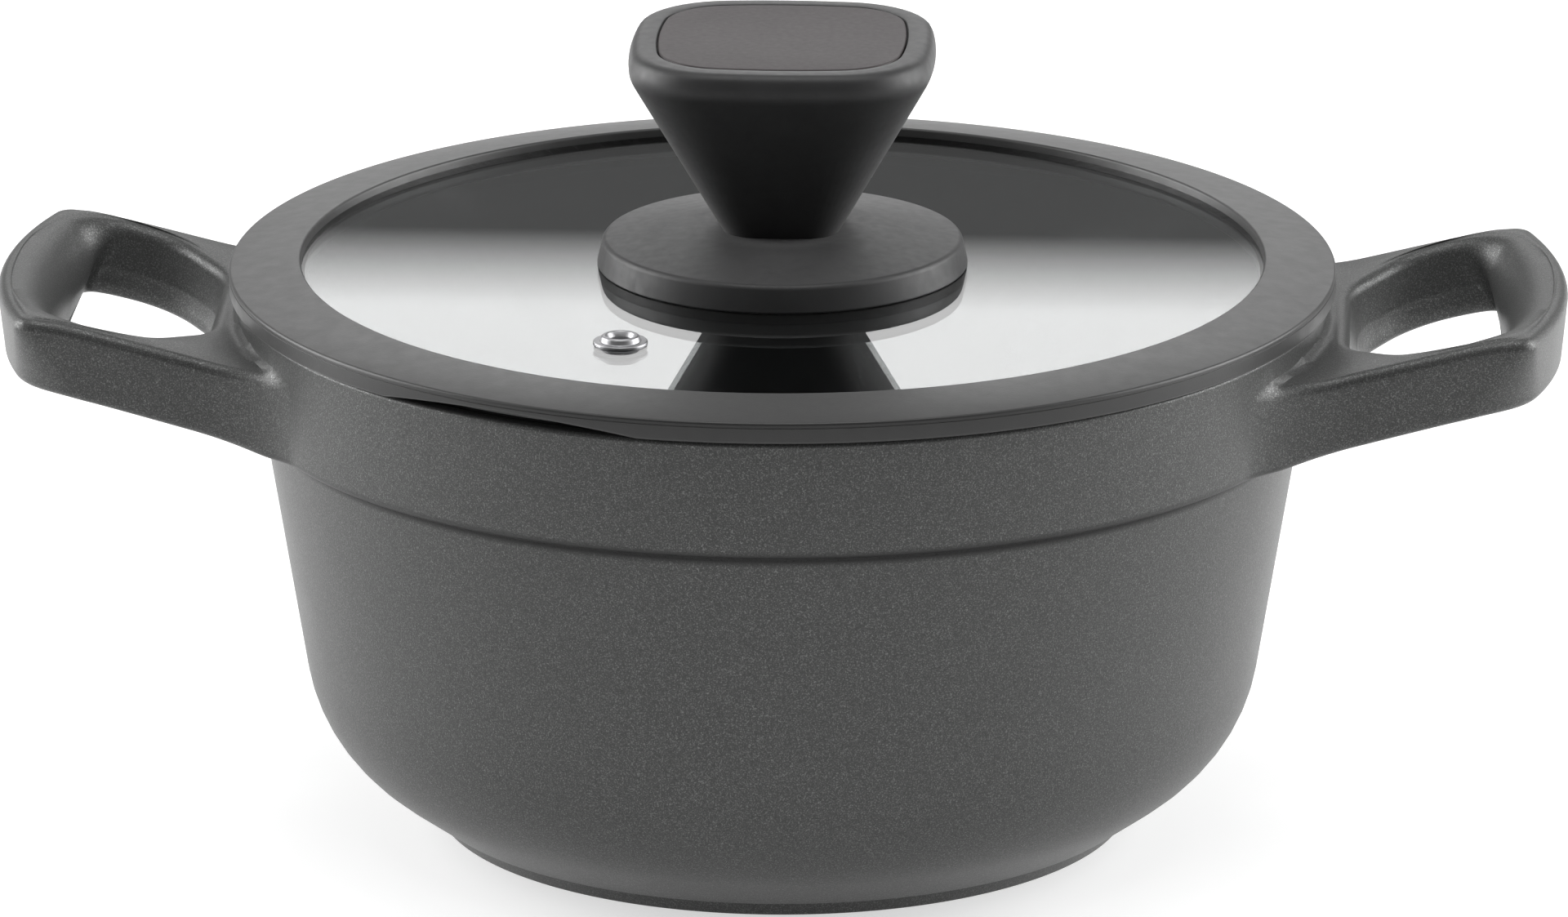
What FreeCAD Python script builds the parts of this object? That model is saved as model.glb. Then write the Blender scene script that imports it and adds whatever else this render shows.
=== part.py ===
import FreeCAD, Part
import math
import os
from FreeCAD import Vector, Placement, Rotation

# Two-handled cast casserole with a silicone-rimmed glass lid.
# Millimetres, +Z up. Origin: centre of the base, on the surface it stands on. The handles lie along X.

# --- pot: the vessel -------------------------------------------------------------------------------
RIM_INNER_R = 100.0          # inside radius at the rim, half of the nominal 200 mm
RIM_Z = 103.8                # height of the rim above the stove
WALL_DRAFT = 0.162           # radius gained per millimetre of height on the straight wall
WALL_T = 2.7                 # wall thickness, measured level
BASE_T = 6.0                 # thickness of the cooking base
FOOT_INSET = 34.0            # the flat ground base is this much smaller in radius than the rim
FOOT_H = 3.2                 # height of the foot ring's wall
FOOT_FLARE = 2.0             # how much wider the foot ring is at its top
FOOT_STEP = 0.9              # level ledge between the foot ring and the bowl
FOOT_EDGE_R = 0.8
BOWL_SLOPE = 1.38            # radius gained per millimetre of height on the bowl's lower cone
BOWL_FILLET_R = 31.7         # between the lower cone and the wall
FLOOR_FILLET_R = 14.0        # inside, between the floor and the lower cone
RIM_EDGE_R = 0.9

# --- pot: the band and the handles -----------------------------------------------------------------
BAND_H = 23.0                # the band reaches this far below the rim
BAND_T = 3.5                 # thickness of the band at the rim
BAND_TAPER = 1.4             # radius that the band's outside loses from the rim to its lower edge
BAND_EDGE_R = 2.0
BAND_CREASE_R = 0.6
HANDLE_LENGTH = 46.3         # from the band's outside to the handle's end, before its edges are rounded
HANDLE_HALF_W = 38.7
HANDLE_END_R = 68.0          # plan radius of the end
HANDLE_END_LEAN = 0.12       # how much the end leans in towards its underside, per millimetre
HANDLE_CORNER_R = 13.0
HANDLE_BLEND_R = 12.0        # plan radius between the handle's side and the band
BAND_INSET = 0.3             # the blends end this far inside the band's face
HANDLE_SHELF_DROP = 4.8      # level shelf of the handle beside the band, below the rim
HANDLE_TOP_RISE = 0.243
HANDLE_TOP_LEVEL = 2.0       # length of that shelf before the top starts to rise
HANDLE_BOTTOM_RISE = 0.300
HANDLE_BOTTOM_EARLY = 4.0    # the underside starts to rise this far inside the band's outside
HANDLE_EDGE_R = 2.4
GRIP_HOLE_OFF_BAND = 4.0     # from the band's outside to the finger hole
GRIP_SIDE_T = 6.1            # width of the handle's two sides beside the hole
GRIP_HOLE_CORNER_R = 16.0    # corners beside the pot
GRIP_HOLE_END_R = 7.0        # corners at the handle's end
GRIP_HOLE_END_ARC_R = 150.0  # plan radius of the hole's end wall
GRIP_BAR_TOP = 7.5           # width of the end bar along its top
GRIP_BAR_BOTTOM = 11.8       # width of the end bar along its underside
GRIP_HOLE_EDGE_R = 1.8

# --- induction disc --------------------------------------------------------------------------------
DISC_EDGE = 6.0              # width of the ground ring around the disc
DISC_T = 1.2
DISC_FIT = 0.1               # clearance around the disc in its recess

# --- lid: glass and silicone rim -------------------------------------------------------------------
LIP_OVER_BAND = 1.5          # the silicone's outer edge stands this far past the band
LID_GAP = 0.3                # between the silicone lip and the pot's rim
LIP_T = 4.0                  # height of the rim's outer side
SEAL_TOP_RISE = 1.9          # how much the top face rises towards the glass
SEAL_TOP_W = 13.8            # width of the silicone's top face
SEAL_UNDER_MORE = 0.6        # the lip below the glass reaches this much further in
SEAL_EDGE_R = 0.5
SKIRT_DEPTH = 4.6            # how far the skirt reaches into the pot
SKIRT_T = 2.4
SKIRT_CLEAR = 0.4            # between the skirt and the pot's wall
GLASS_HELD_W = 6.8           # how far the glass reaches into the silicone
GLASS_T = 4.0
GLASS_BELOW_SEAL = 1.7       # height of the silicone above the glass at its inner edge
GLASS_EDGE_R = 0.8
GLASS_FIT = 0.05             # the groove's clearance around the glass
ARCH_DEG = -120.0            # direction of one steam arch under the lip; the other is opposite
ARCH_SPAN_DEG = 36.0
ARCH_H = 2.0

# --- lid: steam vent -------------------------------------------------------------------------------
VENT_OFF_SEAL = 29.6         # from the silicone's inner edge to the vent's axis
VENT_DEG = -116.5
VENT_BORE_R = 2.1
VENT_WALL = 0.5
VENT_HOLE_CLEAR = 0.3
VENT_FLANGE_W = 1.45         # how far the flange stands out past the collar
VENT_FLANGE_T = 0.5
VENT_COLLAR_W = 1.05         # how far the collar stands out past the tube
VENT_COLLAR_H = 1.2
VENT_PROUD = 2.0
VENT_WASHER_W = 2.4          # how far the washer stands out past the tube
VENT_WASHER_T = 0.5
VENT_WASHER_FIT = 0.05       # clearance of the washer around the tube
VENT_ROLL_W = 1.2            # how far the rolled edge stands out past the tube
VENT_ROLL_T = 0.6

# --- lid: knob -------------------------------------------------------------------------------------
BASE_R = 35.2                # knob base, where it meets the glass
BASE_TAPER = 1.1             # radius that the base's side loses towards its top
BASE_SIDE_H = 5.1
BASE_EDGE_R = 1.2
BASE_CROWN_H = 2.7           # rise of the base's top towards the grip
BASE_SEAT_MARGIN = 5.7       # level seat around the grip's neck
NECK_HALF = 11.3             # half width of the grip where it leaves the base
NECK_CORNER_R = 6.5
NECK_H = 27.3                # height of the grip's cone, up to the head
HEAD_HALF = 28.2             # half width where the cone meets the head
HEAD_CORNER_R = 17.0
HEAD_WIDE_H = 4.1            # widest line above the cone's end
HEAD_WIDEN = 1.3             # how much wider the widest line is, each side
HEAD_WIDE_CORNER_MORE = 0.8
HEAD_TOP_H = 9.1             # top face above the cone's end
HEAD_TOP_NARROW = 1.6        # the top face is this much smaller than the widest line, each side
HEAD_TOP_CORNER_LESS = 1.2
HEAD_EDGE_R = 2.2
SIDE_BULGE = 4.2             # radius of a side's curve, as a multiple of the half width
INLAY_MARGIN = 4.2           # from the top face's edge to the inlay
INLAY_CORNER_LESS = 4.1
INLAY_T = 2.0
INLAY_GAP = 0.3
INLAY_EDGE_R = 0.35
INLAY_STUB_R = 2.6
INLAY_STUB_L = 7.0
INLAY_STUB_FIT = 0.05        # clearance of the stub in its hole
LEDGE_W = 2.2                # the ledge that carries the inlay
CORE_WALL = 3.4              # grip wall around its hollow core
CORE_FLOOR_H = 9.0           # solid height above the neck's foot
BOSS_WALL = 2.5              # around the insert
RIB_T = 2.2
RIB_DROP = 6.0               # the ribs stop this far below the inlay

# --- lid: knob fixings -----------------------------------------------------------------------------
SCREW_R = 2.5                # M5
SCREW_FIT = 0.05
SCREW_TIP = 14.0             # how far the screw runs into the grip
SCREW_HEAD_W = 2.1           # how far the head stands out past the shank
SCREW_HEAD_H = 2.8
SCREW_SLOT_W = 1.2
SCREW_SLOT_D = 1.4
INSERT_WALL = 1.4
INSERT_L = 12.0
INSERT_RISE = 1.5            # start of the insert above the grip's foot
HOLE_CLEAR = 0.5             # screw clearance in the base, gaskets and washer
COLLAR_WALL = 1.8            # the lower gasket's collar through the glass
GASKET_T = 1.0
UPPER_GASKET_W = 9.0         # width of the ring under the knob base
LOWER_GASKET_MARGIN = 0.5    # the lower gasket shows this much around the washer
GASKET_FIT = 0.05            # clearance of the upper gasket in its pocket
COLLAR_CLEAR = 0.2
COLLAR_SHORT = 0.4           # the collar stops this far below the glass top
WASHER_W = 6.0               # width of the washer around its bore
WASHER_T = 1.2

# --- radii and widths that follow ------------------------------------------------------------------
FOOT_R = RIM_INNER_R - FOOT_INSET
DISC_R = FOOT_R - DISC_EDGE
BAND_TOP_R = RIM_INNER_R + BAND_T
BAND_BOTTOM_R = BAND_TOP_R - BAND_TAPER
HANDLE_REACH = BAND_TOP_R + HANDLE_LENGTH
HANDLE_TOP_RISE_X = BAND_TOP_R + HANDLE_TOP_LEVEL
HANDLE_BOTTOM_RISE_X = BAND_TOP_R - HANDLE_BOTTOM_EARLY
GRIP_HOLE_X = BAND_TOP_R + GRIP_HOLE_OFF_BAND
GRIP_HOLE_HALF_W = HANDLE_HALF_W - GRIP_SIDE_T
LID_R = BAND_TOP_R + LIP_OVER_BAND
SEAL_INNER_R = LID_R - SEAL_TOP_W
SEAL_UNDER_R = SEAL_INNER_R - SEAL_UNDER_MORE
GLASS_R = SEAL_INNER_R + GLASS_HELD_W
VENT_AT_R = SEAL_INNER_R - VENT_OFF_SEAL
VENT_TUBE_R = VENT_BORE_R + VENT_WALL
VENT_COLLAR_R = VENT_TUBE_R + VENT_COLLAR_W
VENT_FLANGE_R = VENT_COLLAR_R + VENT_FLANGE_W
BASE_TOP_R = BASE_R - BASE_TAPER
BASE_SEAT_R = NECK_HALF + BASE_SEAT_MARGIN
HEAD_WIDE_HALF = HEAD_HALF + HEAD_WIDEN
HEAD_WIDE_CORNER_R = HEAD_CORNER_R + HEAD_WIDE_CORNER_MORE
HEAD_TOP_HALF = HEAD_WIDE_HALF - HEAD_TOP_NARROW
HEAD_TOP_CORNER_R = HEAD_WIDE_CORNER_R - HEAD_TOP_CORNER_LESS
INLAY_HALF = HEAD_TOP_HALF - INLAY_MARGIN
INLAY_CORNER_R = HEAD_TOP_CORNER_R - INLAY_CORNER_LESS
HOLE_R = SCREW_R + HOLE_CLEAR
GLASS_HOLE_R = HOLE_R + COLLAR_WALL + COLLAR_CLEAR
INSERT_R = SCREW_R + INSERT_WALL
BOSS_R = INSERT_R + BOSS_WALL
SCREW_HEAD_R = SCREW_R + SCREW_HEAD_W
WASHER_R = HOLE_R + WASHER_W
UPPER_GASKET_R = GLASS_HOLE_R + UPPER_GASKET_W
LOWER_GASKET_R = WASHER_R + LOWER_GASKET_MARGIN

# --- heights that follow ---------------------------------------------------------------------------
BAND_BOTTOM_Z = RIM_Z - BAND_H
HANDLE_ROOT_TOP_Z = RIM_Z - HANDLE_SHELF_DROP
LIP_Z = RIM_Z + LID_GAP
SEAL_OUTER_TOP_Z = LIP_Z + LIP_T
SEAL_TOP_Z = SEAL_OUTER_TOP_Z + SEAL_TOP_RISE
GLASS_TOP_Z = SEAL_TOP_Z - GLASS_BELOW_SEAL
GLASS_BOTTOM_Z = GLASS_TOP_Z - GLASS_T
NECK_Z = GLASS_TOP_Z + BASE_SIDE_H + BASE_CROWN_H
HEAD_Z = NECK_Z + NECK_H
HEAD_TOP_Z = HEAD_Z + HEAD_TOP_H
GASKET_BOTTOM_Z = GLASS_BOTTOM_Z - GASKET_T
WASHER_BOTTOM_Z = GASKET_BOTTOM_Z - WASHER_T
Z_AXIS = Vector(0, 0, 1)
BIG = 400.0                  # larger than the whole object, for cutting blocks


# --- drawing helpers -------------------------------------------------------------------------------
def in_xz(a, b):
    return Vector(a, 0, b)


def in_xy(a, b):
    return Vector(a, b, 0)


def rounded_wire(corners, place):
    """Closed wire through (a, b) or (a, b, radius) corners, each rounded by a tangent arc of its radius."""
    points = [place(c[0], c[1]) for c in corners]
    radii = [c[2] if len(c) > 2 else 0.0 for c in corners]
    count = len(points)
    starts, arcs = [], []
    for i in range(count):
        before, here, after = points[i - 1], points[i], points[(i + 1) % count]
        if radii[i] == 0.0:
            starts.append((here, here))
            arcs.append(None)
            continue
        to_before = (before - here).normalize()
        to_after = (after - here).normalize()
        half = to_before.getAngle(to_after) / 2.0
        reach = radii[i] / math.tan(half)
        enter, leave = here + to_before * reach, here + to_after * reach
        middle_way = (to_before + to_after).normalize()
        middle = here + middle_way * (radii[i] / math.sin(half) - radii[i])
        starts.append((enter, leave))
        arcs.append(Part.Arc(enter, middle, leave).toShape())
    edges = []
    for i in range(count):
        if arcs[i]:
            edges.append(arcs[i])
        a, b = starts[i][1], starts[(i + 1) % count][0]
        if a.distanceToPoint(b) > 1e-6:
            edges.append(Part.makeLine(a, b))
    return Part.Wire(edges)


def turned(corners):
    """Solid of revolution about Z from an (r, z) outline."""
    return Part.Face(rounded_wire(corners, in_xz)).revolve(Vector(), Z_AXIS, 360)


def rod(r, z0, z1, x=0.0, y=0.0):
    return Part.makeCylinder(r, z1 - z0, Vector(x, y, z0))


def ring(r_out, r_in, z0, z1):
    return rod(r_out, z0, z1).cut(rod(r_in, z0 - 1, z1 + 1))


def edges_where(shape, test):
    return [e for e in shape.Edges if test(e)]


def solid_of(shape):
    """The one solid that a boolean result holds."""
    return shape.Solids[0]


def soft_square(half, corner_r, z):
    """Closed wire of a square with bulging sides and round corners, level at height z."""
    side_r = SIDE_BULGE * half
    back = half - side_r
    centre = (back + math.sqrt(2 * (side_r - corner_r) ** 2 - back ** 2)) / 2.0
    turn = math.atan2(centre, centre - back)
    edges = []
    for quarter in range(4):
        spin = Rotation(Z_AXIS, 90 * quarter)

        def at(x, y):
            return spin.multVec(Vector(x, y, 0)) + Vector(0, 0, z)

        ends = [at(back + side_r * math.cos(t), side_r * math.sin(t)) for t in (-turn, 0.0, turn)]
        edges.append(Part.Arc(*ends).toShape())
        corner = [at(centre + corner_r * math.cos(t), centre + corner_r * math.sin(t))
                  for t in (turn, math.pi / 4, math.pi / 2 - turn)]
        edges.append(Part.Arc(*corner).toShape())
    return Part.Wire(edges)


def lofted(wires):
    return Part.makeLoft(wires, True, True)


# --- pot -------------------------------------------------------------------------------------------
def inner_wall_r(z):
    return RIM_INNER_R - WALL_DRAFT * (RIM_Z - z)


def outer_wall_r(z):
    return inner_wall_r(z) + WALL_T


def cone_meets_wall(cone_r, cone_z, wall_r_at_zero):
    """Where a line rising at the bowl's slope from (cone_r, cone_z) meets the wall line."""
    z = (wall_r_at_zero - cone_r + BOWL_SLOPE * cone_z) / (BOWL_SLOPE - WALL_DRAFT)
    return wall_r_at_zero + WALL_DRAFT * z, z


def vessel_blank():
    """The vessel and its band as a solid lump."""
    bowl_r = FOOT_R + FOOT_FLARE + FOOT_STEP
    corner_r, corner_z = cone_meets_wall(bowl_r, FOOT_H, outer_wall_r(0))
    return turned([
        (0, 0),
        (FOOT_R, 0, FOOT_EDGE_R),
        (FOOT_R + FOOT_FLARE, FOOT_H),
        (bowl_r, FOOT_H),
        (corner_r, corner_z, BOWL_FILLET_R),
        (outer_wall_r(BAND_BOTTOM_Z), BAND_BOTTOM_Z, BAND_CREASE_R),
        (BAND_BOTTOM_R, BAND_BOTTOM_Z, BAND_EDGE_R),
        (BAND_TOP_R, RIM_Z, RIM_EDGE_R),
        (0, RIM_Z),
    ])


def cavity():
    """The room inside the pot, with its softened rim."""
    floor_r = FOOT_R - BASE_T / 2
    corner_r, corner_z = cone_meets_wall(floor_r, BASE_T, inner_wall_r(0))
    bowl = turned([
        (0, BASE_T),
        (floor_r, BASE_T, FLOOR_FILLET_R),
        (corner_r, corner_z, BOWL_FILLET_R - WALL_T),
        (RIM_INNER_R, RIM_Z),
        (RIM_INNER_R, RIM_Z + RIM_EDGE_R * 4),
        (0, RIM_Z + RIM_EDGE_R * 4),
    ])
    return bowl


def handle_top(x):
    return HANDLE_ROOT_TOP_Z + max(0.0, x - HANDLE_TOP_RISE_X) * HANDLE_TOP_RISE


def handle_bottom(x):
    return BAND_BOTTOM_Z + max(0.0, x - HANDLE_BOTTOM_RISE_X) * HANDLE_BOTTOM_RISE


def leaning_end(reach, end_r, lean, low, high):
    """Solid round end of plan radius end_r: it reaches furthest at height high and leans in below."""
    end = Part.makeCone(end_r - lean * (high - low), end_r, high - low)
    end.Placement = Placement(Vector(reach - end_r, 0, low), Rotation(Z_AXIS, 180))
    return end


def handle_plan():
    """The handle seen from above, standing through the band, with its blends and end corners."""
    low, high = BAND_BOTTOM_Z - 5, handle_top(HANDLE_REACH)
    tall = high - low
    root = rod(BAND_BOTTOM_R - BAND_INSET, 0, tall)
    root.Placement = Placement(Vector(0, 0, low), Rotation(Z_AXIS, 180))
    end = leaning_end(HANDLE_REACH, HANDLE_END_R, HANDLE_END_LEAN, low, high)
    bar = Part.makeBox(2 * HANDLE_REACH, 2 * HANDLE_HALF_W, tall, Vector(0, -HANDLE_HALF_W, low)).common(end)
    plan = solid_of(root.fuse(bar).removeSplitter())

    def upright(e):
        return e.BoundBox.ZLength > 0.9 * tall and abs(abs(e.CenterOfMass.y) - HANDLE_HALF_W) < 0.5

    blends = edges_where(plan, lambda e: upright(e) and 0 < e.BoundBox.XMax < BAND_TOP_R)
    plan = solid_of(plan.makeFillet(HANDLE_BLEND_R, blends))
    corners = edges_where(plan, lambda e: upright(e) and e.BoundBox.XMax > BAND_TOP_R + HANDLE_BLEND_R)
    return solid_of(plan.makeFillet(HANDLE_CORNER_R, corners))


def handle_side():
    """The handle seen from the side: a level root, then a rising bar."""
    start, stop = 2 * RIM_INNER_R / 3, HANDLE_REACH + 10
    outline = rounded_wire([
        (start, BAND_BOTTOM_Z),
        (HANDLE_BOTTOM_RISE_X, BAND_BOTTOM_Z, 20.0),
        (stop, handle_bottom(stop)),
        (stop, handle_top(stop)),
        (HANDLE_TOP_RISE_X, HANDLE_ROOT_TOP_Z, 20.0),
        (start, HANDLE_ROOT_TOP_Z),
    ], in_xz)
    return Part.Face(outline).extrude(Vector(0, BIG, 0)).translated(Vector(0, -BIG / 2, 0))


def finger_hole():
    """Cutter for the finger hole: its end wall leans, so that the end bar is broader below."""
    low, high = BAND_BOTTOM_Z, handle_top(HANDLE_REACH)
    lean = (GRIP_BAR_BOTTOM - GRIP_BAR_TOP) / (high - handle_bottom(HANDLE_REACH))
    end = leaning_end(HANDLE_REACH - GRIP_BAR_TOP, GRIP_HOLE_END_ARC_R, lean, low, high)
    corner = Vector(RIM_INNER_R, -GRIP_HOLE_HALF_W, low)
    slab = Part.makeBox(HANDLE_REACH, 2 * GRIP_HOLE_HALF_W, high - low, corner)
    slab = solid_of(slab.common(end))
    end_corners = edges_where(slab, lambda e: e.BoundBox.ZLength > 0.9 * (high - low)
                              and e.BoundBox.XMin > RIM_INNER_R + 1)
    slab = solid_of(slab.makeFillet(GRIP_HOLE_END_R, end_corners))
    mouth = rounded_wire([
        (GRIP_HOLE_X, -GRIP_HOLE_HALF_W, GRIP_HOLE_CORNER_R),
        (2 * HANDLE_REACH, -GRIP_HOLE_HALF_W),
        (2 * HANDLE_REACH, GRIP_HOLE_HALF_W),
        (GRIP_HOLE_X, GRIP_HOLE_HALF_W, GRIP_HOLE_CORNER_R),
    ], in_xy)
    mouth = Part.Face(mouth).extrude(Vector(0, 0, 2 * high))
    return solid_of(slab.common(mouth))


def middle(e):
    return e.valueAt((e.FirstParameter + e.LastParameter) / 2)


def on_handle_skin(e):
    """Whether an edge runs along the handle's top or underside, and doesn't cross it from side to side."""
    at = middle(e)
    off = min(abs(at.z - handle_top(at.x)), abs(at.z - handle_bottom(at.x)))
    crosses = e.BoundBox.XLength < 0.01 and max(abs(e.BoundBox.YMin), abs(e.BoundBox.YMax)) > GRIP_HOLE_HALF_W
    return off < 0.5 and e.BoundBox.XMin > 0.8 * BAND_TOP_R and not crosses


def around_hole(e):
    at = middle(e)
    return GRIP_HOLE_X - 0.1 < at.x < HANDLE_REACH - GRIP_BAR_TOP + 0.1 and abs(at.y) < GRIP_HOLE_HALF_W + 0.1


def handle():
    solid = solid_of(handle_plan().common(handle_side()))
    solid = solid_of(solid.makeFillet(HANDLE_EDGE_R, edges_where(solid, on_handle_skin)))
    solid = solid_of(solid.cut(finger_hole()))
    hole_rims = edges_where(solid, lambda e: on_handle_skin(e) and around_hole(e))
    return solid_of(solid.makeFillet(GRIP_HOLE_EDGE_R, hole_rims))


def pot_casting():
    one = handle()
    other = one.mirror(Vector(), Vector(1, 0, 0))
    lump = vessel_blank().fuse([one, other])
    recess = rod(DISC_R + DISC_FIT, -1, DISC_T)
    return solid_of(lump.cut(cavity()).cut(recess).removeSplitter())


def base_disc():
    return rod(DISC_R, 0, DISC_T)


# --- lid: silicone rim and glass -------------------------------------------------------------------
def skirt_r(z):
    return inner_wall_r(z) - SKIRT_CLEAR


def steam_arches():
    """Cutters that lift the lip's underside at two opposite places."""
    half_chord = LID_R * math.sin(math.radians(ARCH_SPAN_DEG / 2))
    arch_r = (half_chord ** 2 + ARCH_H ** 2) / (2 * ARCH_H)
    barrel = Part.makeCylinder(arch_r, 2 * BIG, Vector(-BIG, 0, LIP_Z + ARCH_H - arch_r), Vector(1, 0, 0))
    lip_only = ring(LID_R + 1, RIM_INNER_R, LIP_Z - 1, SEAL_TOP_Z)
    return barrel.common(lip_only).rotated(Vector(), Z_AXIS, ARCH_DEG)


def rim_seal():
    skirt_z = LIP_Z - SKIRT_DEPTH
    body = turned([
        (SEAL_UNDER_R, skirt_z + SKIRT_DEPTH / 2, SEAL_EDGE_R),
        (skirt_r(skirt_z) - SKIRT_T, skirt_z, SEAL_EDGE_R),
        (skirt_r(skirt_z), skirt_z, SEAL_EDGE_R),
        (skirt_r(LIP_Z), LIP_Z),
        (LID_R, LIP_Z, SEAL_EDGE_R),
        (LID_R, SEAL_OUTER_TOP_Z, SEAL_EDGE_R),
        (SEAL_INNER_R, SEAL_TOP_Z, SEAL_EDGE_R),
        (SEAL_INNER_R, GLASS_TOP_Z),
        (SEAL_UNDER_R, GLASS_BOTTOM_Z),
    ])
    groove = ring(GLASS_R + GLASS_FIT, SEAL_UNDER_R - 5, GLASS_BOTTOM_Z, GLASS_TOP_Z)
    return solid_of(body.cut(groove).cut(steam_arches()))


def vent_at(shape):
    """Turns a piece drawn about Z into place at the vent."""
    angle = math.radians(VENT_DEG)
    return shape.translated(Vector(VENT_AT_R * math.cos(angle), VENT_AT_R * math.sin(angle), 0))


def glass_disc():
    disc = turned([
        (0, GLASS_BOTTOM_Z),
        (GLASS_R, GLASS_BOTTOM_Z, GLASS_EDGE_R),
        (GLASS_R, GLASS_TOP_Z, GLASS_EDGE_R),
        (0, GLASS_TOP_Z),
    ])
    low, high = GLASS_BOTTOM_Z - 1, GLASS_TOP_Z + 1
    vent_hole = vent_at(rod(VENT_TUBE_R + VENT_HOLE_CLEAR, low, high))
    return solid_of(disc.cut(rod(GLASS_HOLE_R, low, high)).cut(vent_hole))


# --- lid: steam vent -------------------------------------------------------------------------------
def vent_eyelet():
    """Rolled tube with a stepped flange above the glass and a rolled edge below its washer."""
    washer_z = GLASS_BOTTOM_Z - VENT_WASHER_T
    roll_z = washer_z - VENT_ROLL_T
    edge = VENT_FLANGE_T * 0.45
    return vent_at(turned([
        (VENT_BORE_R, roll_z),
        (VENT_TUBE_R + VENT_ROLL_W, roll_z, edge),
        (VENT_TUBE_R + VENT_ROLL_W, washer_z, edge / 2),
        (VENT_TUBE_R, washer_z),
        (VENT_TUBE_R, GLASS_TOP_Z),
        (VENT_FLANGE_R, GLASS_TOP_Z),
        (VENT_FLANGE_R, GLASS_TOP_Z + VENT_FLANGE_T, edge),
        (VENT_COLLAR_R, GLASS_TOP_Z + VENT_FLANGE_T, edge),
        (VENT_COLLAR_R, GLASS_TOP_Z + VENT_COLLAR_H, edge),
        (VENT_TUBE_R, GLASS_TOP_Z + VENT_COLLAR_H, edge / 2),
        (VENT_TUBE_R, GLASS_TOP_Z + VENT_PROUD, edge),
        (VENT_BORE_R, GLASS_TOP_Z + VENT_PROUD, edge / 2),
    ]))


def vent_washer():
    outer_r, hole_r = VENT_TUBE_R + VENT_WASHER_W, VENT_TUBE_R + VENT_WASHER_FIT
    return vent_at(ring(outer_r, hole_r, GLASS_BOTTOM_Z - VENT_WASHER_T, GLASS_BOTTOM_Z))


# --- lid: knob -------------------------------------------------------------------------------------
def knob_base():
    side_top = GLASS_TOP_Z + BASE_SIDE_H
    body = turned([
        (0, GLASS_TOP_Z),
        (BASE_R, GLASS_TOP_Z),
        (BASE_TOP_R, side_top, BASE_EDGE_R),
        (BASE_SEAT_R, NECK_Z, BASE_SEAT_R),
        (0, NECK_Z),
    ])
    pocket = rod(UPPER_GASKET_R + GASKET_FIT, GLASS_TOP_Z - 1, GLASS_TOP_Z + GASKET_T)
    screw_hole = rod(HOLE_R, GLASS_TOP_Z, NECK_Z + 1)
    return solid_of(body.cut(pocket).cut(screw_hole))


def grip_sections():
    """Half width, corner radius and height of the grip's outside, from its foot to its top."""
    return [
        (NECK_HALF, NECK_CORNER_R, NECK_Z),
        (HEAD_HALF, HEAD_CORNER_R, HEAD_Z),
        (HEAD_WIDE_HALF, HEAD_WIDE_CORNER_R, HEAD_Z + HEAD_WIDE_H),
        (HEAD_TOP_HALF, HEAD_TOP_CORNER_R, HEAD_TOP_Z),
    ]


def between(low, high, z):
    """A section part way between two others, at height z."""
    share = (z - low[2]) / (high[2] - low[2])
    return [low[i] + share * (high[i] - low[i]) for i in range(2)] + [z]


def hollow_core():
    """The grip's hollow, open at the top under the inlay's ledge."""
    foot, head = grip_sections()[:2]
    low = between(foot, head, NECK_Z + CORE_FLOOR_H)
    ceiling = HEAD_TOP_Z - INLAY_T
    inset = INLAY_HALF - LEDGE_W
    return lofted([
        soft_square(low[0] - CORE_WALL, low[1] - CORE_WALL / 2, low[2]),
        soft_square(inset, INLAY_CORNER_R - LEDGE_W / 2, ceiling - LEDGE_W),
        soft_square(inset, INLAY_CORNER_R - LEDGE_W / 2, ceiling + 0.01),
    ])


def ribs(z0, z1):
    span = 2 * HEAD_WIDE_HALF
    one = Part.makeBox(span, RIB_T, z1 - z0, Vector(-span / 2, -RIB_T / 2, z0))
    return one.fuse(one.rotated(Vector(), Z_AXIS, 90))


def knob_grip():
    sections = [soft_square(*section) for section in grip_sections()]
    body = lofted(sections[:2]).fuse([lofted(sections[1:3]), lofted(sections[2:])]).removeSplitter()
    body = solid_of(body)
    top_edges = edges_where(body, lambda e: abs(e.BoundBox.ZMin - HEAD_TOP_Z) < 0.01)
    body = solid_of(body.makeFillet(HEAD_EDGE_R, top_edges))
    ceiling = HEAD_TOP_Z - INLAY_T
    pocket = lofted([soft_square(INLAY_HALF + INLAY_GAP, INLAY_CORNER_R + INLAY_GAP, z)
                     for z in (ceiling, HEAD_TOP_Z + 1)])
    core = hollow_core()
    boss_top = ceiling - RIB_DROP
    inside = rod(BOSS_R, NECK_Z, boss_top).fuse(ribs(NECK_Z, boss_top)).common(core)
    body = body.cut(pocket).cut(core).fuse(inside)
    insert_z = NECK_Z + INSERT_RISE
    body = body.cut(rod(INSERT_R, insert_z, insert_z + INSERT_L))
    body = body.cut(rod(HOLE_R, NECK_Z - 1, NECK_Z + SCREW_TIP + 1))
    return solid_of(body.cut(rod(INLAY_STUB_R, boss_top - INLAY_STUB_L, boss_top + 1)))


def knob_inlay():
    ceiling = HEAD_TOP_Z - INLAY_T
    plate = lofted([soft_square(INLAY_HALF, INLAY_CORNER_R, z) for z in (ceiling, HEAD_TOP_Z)])
    top_edges = edges_where(plate, lambda e: abs(e.BoundBox.ZMin - HEAD_TOP_Z) < 0.01)
    plate = solid_of(plate.makeFillet(INLAY_EDGE_R, top_edges))
    boss_top = ceiling - RIB_DROP
    stub = rod(INLAY_STUB_R - INLAY_STUB_FIT, boss_top - INLAY_STUB_L + 1, ceiling)
    return solid_of(plate.fuse(stub))


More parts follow.
